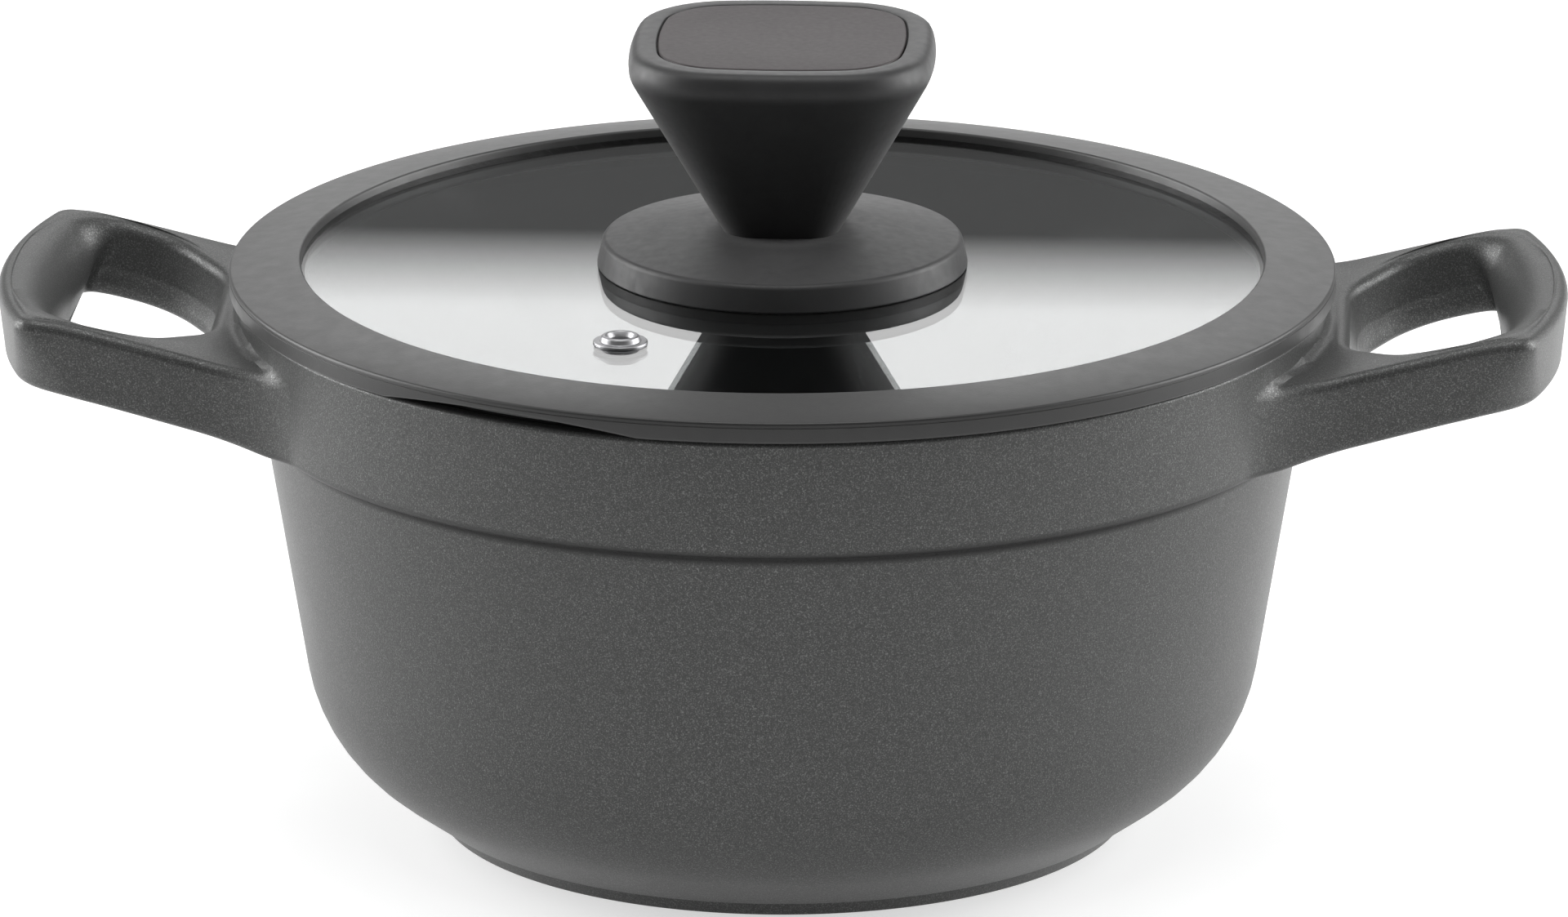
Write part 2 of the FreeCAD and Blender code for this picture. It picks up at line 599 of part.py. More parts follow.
# --- lid: knob fixings -----------------------------------------------------------------------------
def knob_insert():
    z = NECK_Z + INSERT_RISE
    return ring(INSERT_R, SCREW_R + SCREW_FIT, z, z + INSERT_L)


def knob_screw():
    """Pan-head screw from under the glass into the grip."""
    head_z = WASHER_BOTTOM_Z - SCREW_HEAD_H
    screw = turned([
        (0, head_z),
        (SCREW_HEAD_R, head_z, SCREW_HEAD_H * 0.6),
        (SCREW_HEAD_R, WASHER_BOTTOM_Z),
        (SCREW_R, WASHER_BOTTOM_Z),
        (SCREW_R, NECK_Z + SCREW_TIP, SCREW_R / 4),
        (0, NECK_Z + SCREW_TIP),
    ])
    length = 0.6 * SCREW_HEAD_R
    bar = Part.makeBox(2 * length, SCREW_SLOT_W, SCREW_SLOT_D, Vector(-length, -SCREW_SLOT_W / 2, head_z))
    return solid_of(screw.cut(bar.fuse(bar.rotated(Vector(), Z_AXIS, 90))))


def screw_washer():
    return ring(WASHER_R, SCREW_R + HOLE_CLEAR / 2, WASHER_BOTTOM_Z, GASKET_BOTTOM_Z)


def upper_gasket():
    return ring(UPPER_GASKET_R, GLASS_HOLE_R, GLASS_TOP_Z, GLASS_TOP_Z + GASKET_T)


def lower_gasket():
    """Gasket under the glass with a collar that lines the hole in the glass."""
    flange = ring(LOWER_GASKET_R, HOLE_R, GASKET_BOTTOM_Z, GLASS_BOTTOM_Z)
    collar = ring(GLASS_HOLE_R - COLLAR_CLEAR, HOLE_R, GLASS_BOTTOM_Z, GLASS_TOP_Z - COLLAR_SHORT)
    return solid_of(flange.fuse(collar).removeSplitter())


PARTS = {
    "pot_casting": pot_casting,
    "base_disc": base_disc,
    "rim_seal": rim_seal,
    "glass_disc": glass_disc,
    "vent_eyelet": vent_eyelet,
    "vent_washer": vent_washer,
    "knob_base": knob_base,
    "knob_grip": knob_grip,
    "knob_inlay": knob_inlay,
    "knob_insert": knob_insert,
    "knob_screw": knob_screw,
    "screw_washer": screw_washer,
    "upper_gasket": upper_gasket,
    "lower_gasket": lower_gasket,
}


def main():
    os.makedirs("parts", exist_ok=True)
    for name, make in PARTS.items():
        shape = make()
        print(name, len(shape.Solids), "solid, mm3", round(shape.Volume, 1), "valid", shape.isValid())
        shape.exportStep("parts/" + name + ".step")


main()
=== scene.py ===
"""Looks of a two-handled cast casserole with a silicone-rimmed glass lid.

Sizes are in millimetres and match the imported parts; MM brings them to the frame's metres.
+Z up, the handles lie along X, and the origin is the centre of the base.
"""
import math

import bmesh
import bpy
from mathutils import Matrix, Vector


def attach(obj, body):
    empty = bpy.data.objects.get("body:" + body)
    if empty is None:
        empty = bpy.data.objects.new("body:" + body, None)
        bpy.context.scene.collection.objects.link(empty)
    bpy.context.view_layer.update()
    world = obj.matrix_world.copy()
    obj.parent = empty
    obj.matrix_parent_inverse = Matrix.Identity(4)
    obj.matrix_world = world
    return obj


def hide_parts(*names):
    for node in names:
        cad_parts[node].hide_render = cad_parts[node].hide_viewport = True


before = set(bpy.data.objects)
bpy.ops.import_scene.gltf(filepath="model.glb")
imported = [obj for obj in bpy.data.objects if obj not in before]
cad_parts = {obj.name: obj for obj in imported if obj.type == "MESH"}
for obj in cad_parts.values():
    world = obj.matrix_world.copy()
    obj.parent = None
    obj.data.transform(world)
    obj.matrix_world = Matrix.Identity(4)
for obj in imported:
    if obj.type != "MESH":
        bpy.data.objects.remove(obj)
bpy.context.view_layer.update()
MM = 0.001

# --- pot -------------------------------------------------------------------------------------------
RIM_INNER_R = 100.0
RIM_Z = 103.8
WALL_DRAFT = 0.162
WALL_T = 2.7
BASE_T = 6.0
FOOT_R = 66.0
FOOT_H = 3.2
FOOT_FLARE = 2.0
FOOT_STEP = 0.9
BOWL_SLOPE = 1.38
BOWL_FILLET_R = 31.7
FLOOR_FILLET_R = 14.0
DISC_R = 60.0
DISC_T = 1.2
DISC_FIT = 0.1
RECESS_EDGE_R = 0.2
FOOT_EDGE_R = 0.8
FOOT_STEP_INNER_R = 0.4
FOOT_STEP_OUTER_R = 0.5
UNDER_BAND_R = 0.8
RIM_EDGE_R = 0.9
INSIDE_LOW_Z = BASE_T - 0.1
INSIDE_TOP_Z = 102.3         # the inner coat ends here, just below the rim
FACES_UP = 0.3               # least upward lean of a face that counts as the pot's floor
BAND_H = 23.0
BAND_TOP_R = 103.5
BAND_TAPER = 1.4
BAND_EDGE_R = 2.0
BAND_BOTTOM_Z = RIM_Z - BAND_H
BAND_BOTTOM_R = BAND_TOP_R - BAND_TAPER

# --- handles ---------------------------------------------------------------------------------------
HANDLE_REACH = 148.9
HANDLE_LEAN = 1.0            # how much further the end reaches at its top than at its underside
HANDLE_TOP = dict(end_r=111.0, half_w=39.2, corner_r=4.5)
HANDLE_FOOT = dict(end_r=89.0, half_w=38.4, corner_r=16.0)
HANDLE_ROOT_SPREAD = 0.6     # how much wider the half handle is at its root than at its end
HANDLE_BLEND_R = 26.0
HANDLE_SHELF_Z = 97.9
HANDLE_TOP_BENDS = ((103.5, 0.262, 3.0), (136.7, -0.283, 5.0))
HANDLE_BOTTOM_BENDS = ((95.0, 0.27, 2.0), (133.8, -0.271, 4.0))
HANDLE_EDGE_R = 2.2
HOLE_TOP = dict(x=107.9, bar=12.0, end_r=160.0, half_w=33.9, corner_r=7.0)
HOLE_FOOT = dict(x=110.0, bar=12.2, end_r=900.0, half_w=31.7, corner_r=2.0)
HOLE_POT_HALF_W = 19.0
HOLE_POT_CORNER_R = 14.0
HOLE_FLAT_HALF_W = 10.0
HOLE_TAPER_X = 120.0
HOLE_TAPER_R = 15.0
BAR_ROUND_W, BAR_ROUND_H = 9.2, 12.5      # rounding of the hole's rim on the end bar
SIDE_ROUND_W, SIDE_ROUND_H = 2.7, 3.0     # the same along the rest of the hole
ROUND_FADE_START = 0.4       # share of the end bar at which the rounding starts to slim
ROUND_FADE_END = 0.85        # share of the corner at which it is slim
ROUND_GAP = 0.4              # level strip left between the two rims' roundings
ROUND_TRIM = 0.1
SHELF_FILLET_R = 1.8
INSIDE = 0.1                 # how far the blends at the handle's root end inside the band's face
ROOT_DEPTH = 2.6             # how much deeper the rest of the root lies


# --- outlines --------------------------------------------------------------------------------------
def rounded(corners, step_deg=7.5):
    """Points through (a, b) or (a, b, radius) corners, each radius run as an arc."""
    points = []
    for i, corner in enumerate(corners):
        here = Vector(corner[:2])
        if len(corner) < 3:
            points.append(here)
            continue
        to_before = (Vector(corners[i - 1][:2]) - here).normalized()
        to_after = (Vector(corners[(i + 1) % len(corners)][:2]) - here).normalized()
        half = to_before.angle(to_after) / 2
        radius = corner[2]
        centre = here + (to_before + to_after).normalized() * (radius / math.sin(half))
        start = here + to_before * (radius / math.tan(half)) - centre
        stop = here + to_after * (radius / math.tan(half)) - centre
        steps = max(2, round(math.degrees(math.pi - 2 * half) / step_deg))
        turn = math.atan2(start.x * stop.y - start.y * stop.x, start.dot(stop))
        for k in range(steps + 1):
            t = turn * k / steps
            spoke = Vector((start.x * math.cos(t) - start.y * math.sin(t),
                            start.x * math.sin(t) + start.y * math.cos(t)))
            points.append(centre + spoke)
    return points


def lerp(a, b, t):
    return a + (b - a) * t


def smooth(t):
    t = min(1.0, max(0.0, t))
    return t * t * (3 - 2 * t)


# --- mesh making -----------------------------------------------------------------------------------
def spun(points, closed=False, steps=192):
    """Surface of revolution about Z through (r, z) points: from axis to axis, or a closed ring."""
    bm = bmesh.new()
    verts = [bm.verts.new((r * MM, 0, z * MM)) for r, z in points]
    ends = verts[1:] + verts[:1] if closed else verts[1:]
    edges = [bm.edges.new(pair) for pair in zip(verts, ends)]
    bmesh.ops.spin(bm, geom=verts + edges, cent=(0, 0, 0), axis=(0, 0, 1), angle=math.tau,
                   steps=steps, use_merge=True)
    bmesh.ops.remove_doubles(bm, verts=bm.verts[:], dist=1e-7)
    bmesh.ops.recalc_face_normals(bm, faces=bm.faces[:])
    return bm


def bridged(levels, closed_chain, closed_stack):
    """Skin over a stack of point chains, each bridged to the next."""
    bm = bmesh.new()
    chains = []
    for level in levels:
        verts = [bm.verts.new(p) for p in level]
        ends = verts[1:] + verts[:1] if closed_chain else verts[1:]
        chains.append([bm.edges.new(pair) for pair in zip(verts, ends)])
    following = chains[1:] + chains[:1] if closed_stack else chains[1:]
    for a, b in zip(chains, following):
        bmesh.ops.bridge_loops(bm, edges=a + b)
    return bm


def mesh_of(bm, name):
    mesh = bpy.data.meshes.new(name)
    bm.to_mesh(mesh)
    bm.free()
    return mesh


def object_of(mesh, name):
    piece = bpy.data.objects.new(name, mesh)
    bpy.context.scene.collection.objects.link(piece)
    return piece


def joined(first, *others):
    """One mesh of the union of closed meshes."""
    base = object_of(first, "union_base")
    helpers = [object_of(mesh, "union_part") for mesh in others]
    for helper in helpers:
        union = base.modifiers.new("union", "BOOLEAN")
        union.operation = "UNION"
        union.solver = "EXACT"
        union.object = helper
    bpy.context.view_layer.update()
    result = bpy.data.meshes.new_from_object(base.evaluated_get(bpy.context.evaluated_depsgraph_get()))
    for helper in [base] + helpers:
        bpy.data.objects.remove(helper)
    return result


def finished(mesh, name, body, material, stands_for, sharp_deg=35):
    """A piece that rides on a body, shaded smooth between its sharp edges."""
    piece = object_of(mesh, name)
    mesh.shade_smooth()
    mesh.set_sharp_from_angle(angle=math.radians(sharp_deg))
    mesh.materials.clear()
    mesh.materials.append(material)
    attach(piece, body)
    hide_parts(*stands_for)
    return piece


# --- pot: shape ------------------------------------------------------------------------------------
def inner_wall_r(z):
    return RIM_INNER_R - WALL_DRAFT * (RIM_Z - z)


def band_r(z):
    return BAND_TOP_R - BAND_TAPER * (RIM_Z - z) / BAND_H


def cone_meets_wall(cone_r, cone_z, wall_r_at_zero):
    z = (wall_r_at_zero - cone_r + BOWL_SLOPE * cone_z) / (BOWL_SLOPE - WALL_DRAFT)
    return wall_r_at_zero + WALL_DRAFT * z, z


def vessel():
    outside_r = FOOT_R + FOOT_FLARE + FOOT_STEP
    outer = cone_meets_wall(outside_r, FOOT_H, inner_wall_r(0) + WALL_T)
    floor_r = FOOT_R - BASE_T / 2
    inner = cone_meets_wall(floor_r, BASE_T, inner_wall_r(0))
    recess_r = DISC_R + DISC_FIT
    return spun(rounded([
        (0, DISC_T),
        (recess_r, DISC_T),
        (recess_r, 0, RECESS_EDGE_R),
        (FOOT_R, 0, FOOT_EDGE_R),
        (FOOT_R + FOOT_FLARE, FOOT_H, FOOT_STEP_INNER_R),
        (outside_r, FOOT_H, FOOT_STEP_OUTER_R),
        (outer[0], outer[1], BOWL_FILLET_R),
        (inner_wall_r(BAND_BOTTOM_Z) + WALL_T, BAND_BOTTOM_Z, UNDER_BAND_R),
        (BAND_BOTTOM_R, BAND_BOTTOM_Z, BAND_EDGE_R),
        (BAND_TOP_R, RIM_Z, RIM_EDGE_R),
        (RIM_INNER_R, RIM_Z, RIM_EDGE_R),
        (inner[0], inner[1], BOWL_FILLET_R - WALL_T),
        (floor_r, BASE_T, FLOOR_FILLET_R),
        (0, BASE_T),
    ], step_deg=6), steps=240)


# --- handles: shape --------------------------------------------------------------------------------
END_STEPS, CORNER_STEPS, SIDE_STEPS, POT_STEPS, BAND_STEPS = 14, 12, 14, 14, 16


def arc_rows(x, y, radius, start, stop, steps, side=1):
    """(point, outward normal) rows along an arc, without its last point; side 0 is never rounded over."""
    rows = []
    for i in range(steps):
        t = lerp(start, stop, i / steps)
        spoke = Vector((math.cos(t), math.sin(t)))
        rows.append((Vector((x, y)) + spoke * radius, spoke * side))
    return rows


def line_rows(a, b, normal, steps):
    return [(Vector(a).lerp(Vector(b), i / steps), Vector(normal)) for i in range(steps)]


def end_rows(reach, end_r, half_w, corner_r):
    """Half of a round end and its corner, from the middle to the straight side, and where that starts."""
    centre = reach - end_r
    along = math.sqrt((end_r - corner_r) ** 2 - (half_w - corner_r) ** 2)
    turn = math.atan2(half_w - corner_r, along)
    rows = arc_rows(centre, 0, end_r, 0, turn, END_STEPS)
    rows += arc_rows(centre + along, half_w - corner_r, corner_r, turn, math.pi / 2, CORNER_STEPS)
    return rows, centre + along


def spread_rows(points, steps):
    """Evenly spaced (point, outward normal) rows along a bent line, without its last point."""
    lengths = [(b - a).length for a, b in zip(points, points[1:])]
    rows, i, passed = [], 0, 0.0
    for k in range(steps):
        goal = sum(lengths) * k / steps
        while passed + lengths[i] < goal:
            passed += lengths[i]
            i += 1
        along = (points[i + 1] - points[i]).normalized()
        rows.append((points[i] + along * (goal - passed), Vector((along.y, -along.x))))
    return rows


def between(top, foot, depth):
    """Sizes part of the way from the top's to the underside's."""
    return {key: lerp(top[key], foot[key], depth) for key in top}


def outer_rows(depth):
    """Half of the handle's outside in plan, at a depth of 0 (top) to 1 (underside)."""
    size = between(HANDLE_TOP, HANDLE_FOOT, depth)
    half_w, root_half_w = size["half_w"], size["half_w"] + HANDLE_ROOT_SPREAD
    root_r = band_r(lerp(HANDLE_SHELF_Z, BAND_BOTTOM_Z, depth)) - INSIDE
    rows, side_x = end_rows(HANDLE_REACH - HANDLE_LEAN * depth, **size)
    blend_y = root_half_w + HANDLE_BLEND_R
    blend_x = math.sqrt((root_r + HANDLE_BLEND_R) ** 2 - blend_y ** 2)
    swing = math.atan2(blend_y, blend_x)
    rows += line_rows((side_x, half_w), (blend_x, root_half_w), (0, 1), SIDE_STEPS)
    rows += arc_rows(blend_x, blend_y, HANDLE_BLEND_R, -math.pi / 2, swing - math.pi, POT_STEPS, side=-1)
    rows += arc_rows(0, 0, root_r - ROOT_DEPTH, swing, 0, BAND_STEPS, side=0)
    rows.append((Vector((root_r - ROOT_DEPTH, 0)), Vector((0, 0))))
    return rows


def hole_rows(depth):
    """Half of the finger hole in plan, at a depth of 0 (top) to 1 (underside)."""
    size = between(HOLE_TOP, HOLE_FOOT, depth)
    x, bar, half_w = size.pop("x"), size.pop("bar"), size["half_w"]
    rows, side_x = end_rows(HANDLE_REACH - bar, **size)
    side = rounded([(side_x, half_w), (HOLE_TAPER_X, half_w, HOLE_TAPER_R),
                    (x, HOLE_POT_HALF_W, HOLE_POT_CORNER_R), (x, HOLE_FLAT_HALF_W)], step_deg=5)
    rows += spread_rows(side, SIDE_STEPS + POT_STEPS)
    rows += line_rows((x, HOLE_FLAT_HALF_W), (x, 0), (-1, 0), BAND_STEPS)
    rows.append((Vector((x, 0)), Vector((-1, 0))))
    return rows


def bends(x, level, turns):
    """A level line that bends softly to another slope at each (start, rise, ease)."""
    return level + sum(rise * (math.hypot(x - start, ease) + x - start) / 2 for start, rise, ease in turns)


def handle_top(p):
    """Height of the handle's top at plan point p, with the fillet that runs up to the band."""
    z = bends(p.x, HANDLE_SHELF_Z, HANDLE_TOP_BENDS)
    short = SHELF_FILLET_R - max(0.0, p.length - band_r(HANDLE_SHELF_Z))
    if short > 0:
        z += SHELF_FILLET_R - math.sqrt(SHELF_FILLET_R ** 2 - short ** 2)
    return z


def handle_bottom(p):
    return bends(p.x, BAND_BOTTOM_Z - 0.02, HANDLE_BOTTOM_BENDS)


def rim_roundings():
    """Width and depth of the hole's rim rounding at each column: broad on the end bar, slim elsewhere."""
    outside = [point for point, _ in outer_rows(0)]
    fade_start = END_STEPS * ROUND_FADE_START
    fade_length = END_STEPS * (1 - ROUND_FADE_START) + CORNER_STEPS * ROUND_FADE_END
    roundings = []
    for k, (point, normal) in enumerate(hole_rows(0)):
        past_end = smooth((k - fade_start) / fade_length)
        wide = lerp(BAR_ROUND_W, SIDE_ROUND_W, past_end)
        while min((point + normal * wide - other).length for other in outside) < HANDLE_EDGE_R + ROUND_GAP:
            wide -= ROUND_TRIM
        roundings.append((wide, lerp(BAR_ROUND_H, SIDE_ROUND_H, past_end)))
    return roundings


WALL_LEVELS = (0.0, 0.16, 0.32, 0.40, 0.44, 0.48, 0.56, 0.7, 0.85)
PARTING_AT = 0.44
PARTING_RIDGE = 0.12
PARTING_HALF = 0.09
SHELF_CROWN = 0.25
ROUND_STEPS = 9
SHELF_LEVELS = 12
BOTTOM_R = 1.4


def handle_levels():
    """Chains of points around the handle's section, starting at the foot of the finger hole's wall."""
    count = len(hole_rows(0))
    columns = range(count)
    hole_top, hole_foot = hole_rows(0), hole_rows(1)
    rim = rim_roundings()
    levels = []

    def raised(points):
        levels.append([Vector((p.x * MM, p.y * MM, z * MM)) for p, z in points])

    def hole_at(k, share, grow):
        """Plan point on the hole's wall, share of the way up, pushed out by grow."""
        point = hole_foot[k][0].lerp(hole_top[k][0], share)
        normal = hole_foot[k][1].lerp(hole_top[k][1], share).normalized()
        return point + normal * grow

    for share in WALL_LEVELS:
        ridge = PARTING_RIDGE * max(0.0, 1 - abs(share - PARTING_AT) / PARTING_HALF)
        points = []
        for k in columns:
            p = hole_at(k, share, -ridge)
            low, high = handle_bottom(p) + BOTTOM_R, handle_top(p) - rim[k][1]
            points.append((p, lerp(low, high, share)))
        raised(points)
    for i in range(ROUND_STEPS + 1):
        t = math.pi / 2 * i / ROUND_STEPS
        points = []
        for k in columns:
            wide, deep = rim[k]
            p = hole_at(k, 1, wide * (1 - math.cos(t)))
            points.append((p, handle_top(p) - deep * (1 - math.sin(t))))
        raised(points)
    outer_top = outer_rows(0)
    inner_edge = [hole_at(k, 1, rim[k][0]) for k in columns]
    outer_edge = [outer_top[k][0] - outer_top[k][1] * HANDLE_EDGE_R for k in columns]
    for i in range(1, SHELF_LEVELS):
        share = i / SHELF_LEVELS
        crown = SHELF_CROWN * math.sin(math.pi * share)
        points = [inner_edge[k].lerp(outer_edge[k], share) for k in columns]
        raised([(p, handle_top(p) + crown) for p in points])
    for i in range(ROUND_STEPS + 1):
        t = math.pi / 2 * (1 - i / ROUND_STEPS)
        points = [outer_top[k][0] - outer_top[k][1] * HANDLE_EDGE_R * (1 - math.cos(t)) for k in columns]
        raised([(p, handle_top(p) - HANDLE_EDGE_R * (1 - math.sin(t))) for p in points])
    for depth in (0.2, 0.4, 0.6, 0.8):
        points = [row[0] for row in outer_rows(depth)]
        raised([(p, lerp(handle_top(p) - HANDLE_EDGE_R, handle_bottom(p) + BAND_EDGE_R, depth))
                for p in points])
    outer_foot = outer_rows(1)
    for i in range(ROUND_STEPS + 1):
        t = math.pi / 2 * i / ROUND_STEPS
        points = [row[0] - row[1] * BAND_EDGE_R * (1 - math.cos(t)) for row in outer_foot]
        raised([(p, handle_bottom(p) + BAND_EDGE_R * (1 - math.sin(t))) for p in points])
    for share in (0.33, 0.66):
        points = [(outer_foot[k][0] - outer_foot[k][1] * BAND_EDGE_R).lerp(hole_at(k, 0, BOTTOM_R), share)
                  for k in columns]
        raised([(p, handle_bottom(p)) for p in points])
    for i in range(4):
        t = math.pi / 2 * (1 - i / 4)
        points = [hole_at(k, 0, BOTTOM_R * (1 - math.cos(t))) for k in columns]
        raised([(p, handle_bottom(p) + BOTTOM_R * (1 - math.sin(t))) for p in points])
    return levels


def handle(side):
    """One loop handle, on the side +1 (right) or -1 (left)."""
    bm = bridged(handle_levels(), closed_chain=False, closed_stack=True)
    bmesh.ops.mirror(bm, geom=bm.verts[:] + bm.edges[:] + bm.faces[:], axis="Y", merge_dist=1e-6)
    bmesh.ops.remove_doubles(bm, verts=bm.verts[:], dist=1e-7)
    bmesh.ops.scale(bm, verts=bm.verts[:], vec=(side, 1, 1))
    bmesh.ops.recalc_face_normals(bm, faces=bm.faces[:])
    return mesh_of(bm, "handle")


def pot_with_handles(outer_coat, inner_coat):
    mesh = joined(mesh_of(vessel(), "vessel"), handle(1), handle(-1))
    piece = finished(mesh, "pot_with_handles", "pot", outer_coat, ["pot_casting"])
    mesh.materials.append(inner_coat)
    low, high = INSIDE_LOW_Z * MM, INSIDE_TOP_Z * MM
    for face in mesh.polygons:
        faces_axis = face.normal.x * face.center.x + face.normal.y * face.center.y < 0
        faces_in = faces_axis or face.normal.z > FACES_UP
        within = Vector(face.center.xy).length < RIM_INNER_R * MM and low < face.center.z < high
        face.material_index = int(faces_in and within)
    return piece


# --- lid -------------------------------------------------------------------------------------------
LIP_Z = 104.1
LID_R = 104.98
LIP_T = 4.0
SEAL_TOP_Z = 110.0
SEAL_INNER_R = 91.2
SEAL_UNDER_R = 90.6
SKIRT_DEPTH = 4.6
SKIRT_T = 2.4
SKIRT_CLEAR = 0.4
GLASS_R = 98.0
GLASS_FIT = 0.05
PARTING_GROOVE = ((0, 1.1), (0.12, 1.0), (0.12, 0.9), (0, 0.8))   # (depth, below the shoulder)
GLASS_TOP_Z = 108.3
GLASS_BOTTOM_Z = 104.3
ARCH_DEG = (-117.0, 63.0)
ARCH_HALF_DEG = 15.0
ARCH_H = 2.0
ARCH_FROM_R = RIM_INNER_R + 0.5
ARCH_UP_TO_Z = LIP_Z + 0.8
VENT_AT_R = 61.6
VENT_DEG = -116.5
VENT_BORE_R = 2.1
VENT_TUBE_R = 2.6
VENT_FLANGE_R = 5.1
VENT_FLANGE_T = 0.5
VENT_COLLAR_R = 3.65         # half way up its leaning side
VENT_COLLAR_LEAN = 0.15
VENT_COLLAR_H = 1.5
VENT_MOUTH_R = 2.75
VENT_ROLL_R = 3.8            # rolled edge behind the glass
VENT_ROLL_T = 0.6
VENT_BELOW = 1.1             # how far that edge reaches below the glass
BASE_R = 35.2
BASE_TOP_R = 34.1
BASE_SIDE_H = 5.1
BASE_SEAT_R = 17.0
BASE_RECESS_R = 14.05        # recess over the gasket
BASE_RECESS_H = 1.0
SCREW_HOLE_R = 3.0
INSERT_R = 3.9
INSERT_Z = (1.5, 1.6, 13.4, 13.5)         # steps of the insert's pocket above the neck
NECK_Z = 116.1
HEAD_TOP_Z = 152.5
GRIP_PROFILE = (             # half width, height and rounding
    (11.3, NECK_Z),
    (26.9, 143.9),
    (29.5, 148.6, 5.0),
    (27.9, HEAD_TOP_Z - 0.04, 2.2),
    (25.4, HEAD_TOP_Z),
)
GRIP_CORNER_R = 17.0         # plan corner radius where the half width is GRIP_CORNER_AT
GRIP_CORNER_AT = 28.2
GRIP_CORNER_SHARE = 0.62     # how much of a change in half width the corner radius takes up
GRIP_LIP = 0.35
LEVEL_GAP = 0.02             # small step between two levels that would otherwise share a height
SIDE_BULGE = 4.2
INLAY_HALF = 23.4
INLAY_CORNER_R = 12.5
INLAY_T = 2.0
INLAY_GAP = 0.3
INLAY_EDGE_R = 0.35
INLAY_EDGE_STEPS = 4
POCKET_STEP = 2.0


def arch_lift(angle_deg):
    """How far the lip's underside rises at an angle, for the steam arches."""
    lift = 0.0
    for middle in ARCH_DEG:
        off = (angle_deg - middle + 180) % 360 - 180
        lift = max(lift, ARCH_H * (1 - (off / ARCH_HALF_DEG) ** 2))
    return lift


def silicone_rim(material):
    def skirt_r(z):
        return inner_wall_r(z) - SKIRT_CLEAR

    foot_z = LIP_Z - SKIRT_DEPTH
    shoulder_z = LIP_Z + LIP_T
    bm = spun(rounded([
        (SEAL_UNDER_R, foot_z + SKIRT_DEPTH / 2, 0.5),
        (skirt_r(foot_z) - SKIRT_T, foot_z, 0.5),
        (skirt_r(foot_z), foot_z, 0.5),
        (skirt_r(LIP_Z), LIP_Z),
        (LID_R - 0.9, LIP_Z),
        (LID_R, LIP_Z, 0.6),
        *[(LID_R - depth, shoulder_z - below) for depth, below in PARTING_GROOVE],
        (LID_R, shoulder_z, 0.55),
        (SEAL_INNER_R + 0.2, SEAL_TOP_Z, 0.55),
        (SEAL_INNER_R, GLASS_TOP_Z),
        (GLASS_R + GLASS_FIT, GLASS_TOP_Z),
        (GLASS_R + GLASS_FIT, GLASS_BOTTOM_Z),
        (SEAL_UNDER_R, GLASS_BOTTOM_Z),
    ], step_deg=18), closed=True, steps=300)
    for v in bm.verts:
        if v.co.xy.length > ARCH_FROM_R * MM and v.co.z < ARCH_UP_TO_Z * MM:
            v.co.z += arch_lift(math.degrees(math.atan2(v.co.y, v.co.x))) * MM
    return finished(mesh_of(bm, "silicone_rim"), "silicone_rim", "lid", material,
                    ["rim_seal"])


def eyelet(material):
    low = GLASS_BOTTOM_Z - VENT_BELOW
    collar_top = GLASS_TOP_Z + VENT_COLLAR_H
    bm = spun(rounded([
        (VENT_BORE_R, low),
        (VENT_ROLL_R, low, 0.25),
        (VENT_ROLL_R, low + VENT_ROLL_T, 0.12),
        (VENT_TUBE_R, low + VENT_ROLL_T),
        (VENT_TUBE_R, GLASS_TOP_Z),
        (VENT_FLANGE_R, GLASS_TOP_Z),
        (VENT_FLANGE_R, GLASS_TOP_Z + VENT_FLANGE_T, 0.24),
        (VENT_COLLAR_R + VENT_COLLAR_LEAN, GLASS_TOP_Z + 0.42, 0.2),
        (VENT_COLLAR_R - VENT_COLLAR_LEAN, collar_top, 0.45),
        (VENT_MOUTH_R, collar_top, 0.3),
        (VENT_BORE_R, GLASS_TOP_Z + 0.6, 0.3),
    ], step_deg=18), closed=True, steps=72)
    angle = math.radians(VENT_DEG)
    place = Vector((math.cos(angle), math.sin(angle), 0)) * VENT_AT_R * MM
    bmesh.ops.translate(bm, verts=bm.verts[:], vec=place)
    return finished(mesh_of(bm, "steam_eyelet"), "steam_eyelet", "lid", material,
                    ["vent_eyelet"])


def knob_plate(material):
    side_top = GLASS_TOP_Z + BASE_SIDE_H
    bm = spun(rounded([
        (SCREW_HOLE_R, NECK_Z),
        (BASE_SEAT_R, NECK_Z, 17.0),
        (BASE_TOP_R, side_top, 1.3),
        (BASE_R, GLASS_TOP_Z, 0.3),
        (BASE_RECESS_R, GLASS_TOP_Z),
        (BASE_RECESS_R, GLASS_TOP_Z + BASE_RECESS_H),
        (SCREW_HOLE_R, GLASS_TOP_Z + BASE_RECESS_H),
    ], step_deg=5), closed=True, steps=192)
    return finished(mesh_of(bm, "knob_plate"), "knob_plate", "lid", material, ["knob_base"])


# --- knob: shape -----------------------------------------------------------------------------------
def soft_square(half, corner_r, z, side_steps=10, corner_steps=10):
    """Closed chain of a level square with bulging sides and round corners."""
    side_r = SIDE_BULGE * half
    back = half - side_r
    centre = (back + math.sqrt(2 * (side_r - corner_r) ** 2 - back ** 2)) / 2
    turn = math.atan2(centre, centre - back)
    rows = []
    for quarter in range(4):
        arcs = arc_rows(back, 0, side_r, -turn, turn, side_steps)
        arcs += arc_rows(centre, centre, corner_r, turn, math.pi / 2 - turn, corner_steps)
        spin = math.pi / 2 * quarter
        for p, _ in arcs:
            rows.append(Vector((p.x * math.cos(spin) - p.y * math.sin(spin),
                                p.x * math.sin(spin) + p.y * math.cos(spin), z)) * MM)
    return rows


def circle(radius, z, steps=80):
    turns = [math.tau * i / steps for i in range(steps)]
    return [Vector((radius * math.cos(turn), radius * math.sin(turn), z)) * MM for turn in turns]


